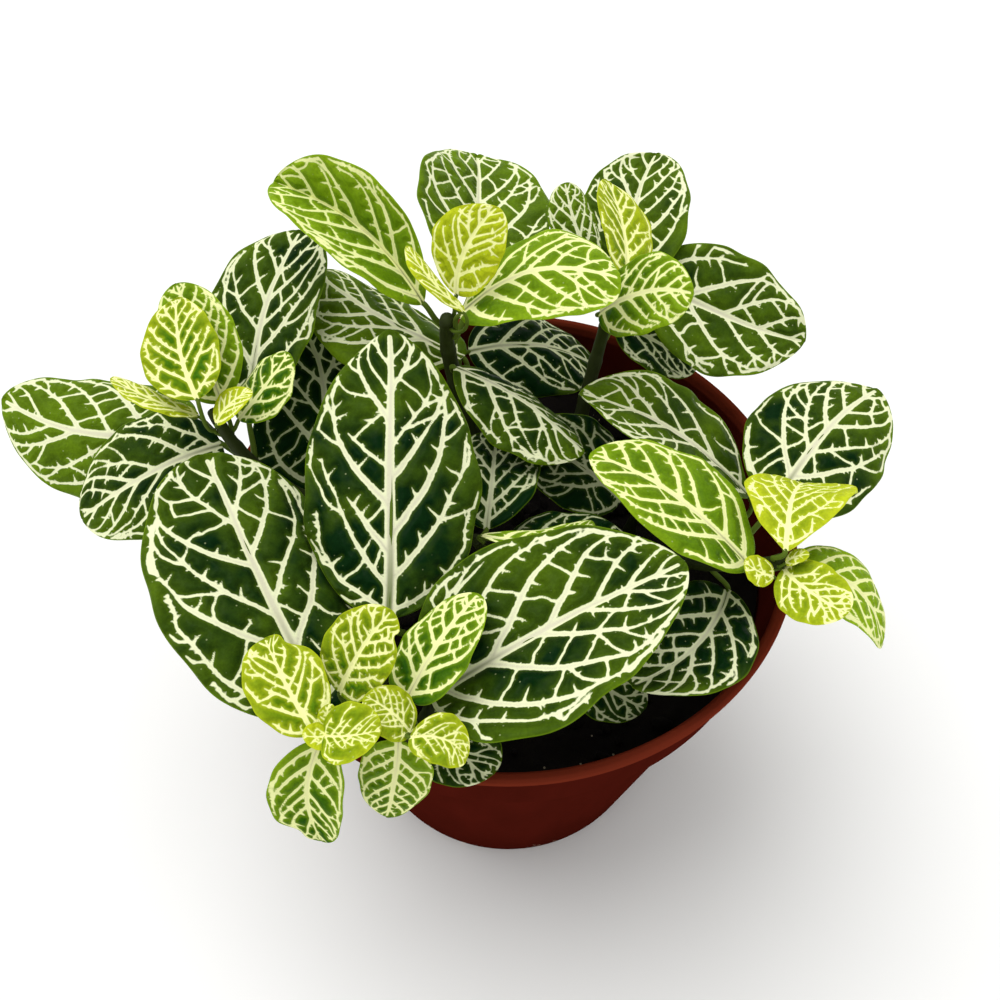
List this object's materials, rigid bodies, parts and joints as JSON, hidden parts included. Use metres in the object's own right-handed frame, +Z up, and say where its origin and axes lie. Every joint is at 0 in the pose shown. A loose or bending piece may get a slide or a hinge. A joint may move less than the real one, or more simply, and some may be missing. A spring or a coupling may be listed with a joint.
{
  "type": "potted nerve plant",
  "caption": "Small potted nerve plant: bushy shoots of oval, pale-veined green leaves leaning out over the rim of a tapered plastic nursery pot filled with dark soil.",
  "frame": {"origin": "middle of the pot's base, on the surface that the pot stands on", "axes": "+Z up; -Y is the front, which the picture is taken from; +X is to the right as seen from the front"},
  "size_m": [0.1834, 0.1461, 0.1562],
  "materials": {
    "pot_plastic": "satin",
    "potting_soil": "matte",
    "stem_green": "satin",
    "leaf_old": "satin",
    "leaf_middle": "satin",
    "leaf_young": "satin"
  },
  "bodies": {
    "root": {"pot": "pot_plastic", "soil": "potting_soil", "stem_front": "stem_green", "stem_left": "stem_green", "stem_centre": "stem_green", "stem_back_right": "stem_green", "stem_right": "stem_green", "stem_middle": "stem_green", "stem_low": "stem_green", "stem_low_right": "stem_green", "stem_front_fork": "stem_green", "leaf_front_left_large": "leaf_old", "leaf_front_centre_large": "leaf_old", "leaf_front_right_large": "leaf_old", "leaf_front_rim_low": "leaf_old", "leaf_front_left_bright": "leaf_young", "leaf_front_left_upright": "leaf_young", "leaf_front_left_tip_low": "leaf_young", "leaf_front_left_tip_inner": "leaf_young", "leaf_front_left_hanging": "leaf_middle", "leaf_front_right_upright": "leaf_middle", "leaf_front_right_hanging": "leaf_middle", "leaf_front_right_tip_inner": "leaf_young", "leaf_front_right_tip_outer": "leaf_young", "leaf_left_tip_bright": "leaf_young", "leaf_left_tip_behind": "leaf_middle", "leaf_left_tip_folded": "leaf_young", "leaf_left_tip_small": "leaf_young", "leaf_left_inner": "leaf_middle", "leaf_left_upright": "leaf_old", "leaf_left_far": "leaf_old", "leaf_left_front": "leaf_old", "leaf_left_edge": "leaf_old", "leaf_centre_left_bright": "leaf_middle", "leaf_centre_back": "leaf_old", "leaf_centre_tip_bright": "leaf_young", "leaf_centre_tip_folded": "leaf_young", "leaf_centre_right_bright": "leaf_middle", "leaf_centre_left_low": "leaf_old", "leaf_centre_right_low": "leaf_old", "leaf_centre_front_low": "leaf_old", "leaf_back_right_rear": "leaf_old", "leaf_back_right_small": "leaf_old", "leaf_back_right_tip": "leaf_young", "leaf_back_right_front": "leaf_middle", "leaf_back_right_large": "leaf_old", "leaf_back_right_low": "leaf_old", "leaf_right_inner_bright": "leaf_middle", "leaf_right_rear": "leaf_old", "leaf_right_tip_fan": "leaf_young", "leaf_right_tip_small": "leaf_young", "leaf_right_tip_front": "leaf_young", "leaf_right_curled": "leaf_middle", "leaf_right_inner_dark": "leaf_old", "leaf_right_low": "leaf_old", "leaf_middle_edge_on": "leaf_middle", "leaf_middle_upright": "leaf_old", "leaf_middle_flat": "leaf_old", "leaf_low_front": "leaf_old", "leaf_low_right": "leaf_old"}
  },
  "joints": []
}
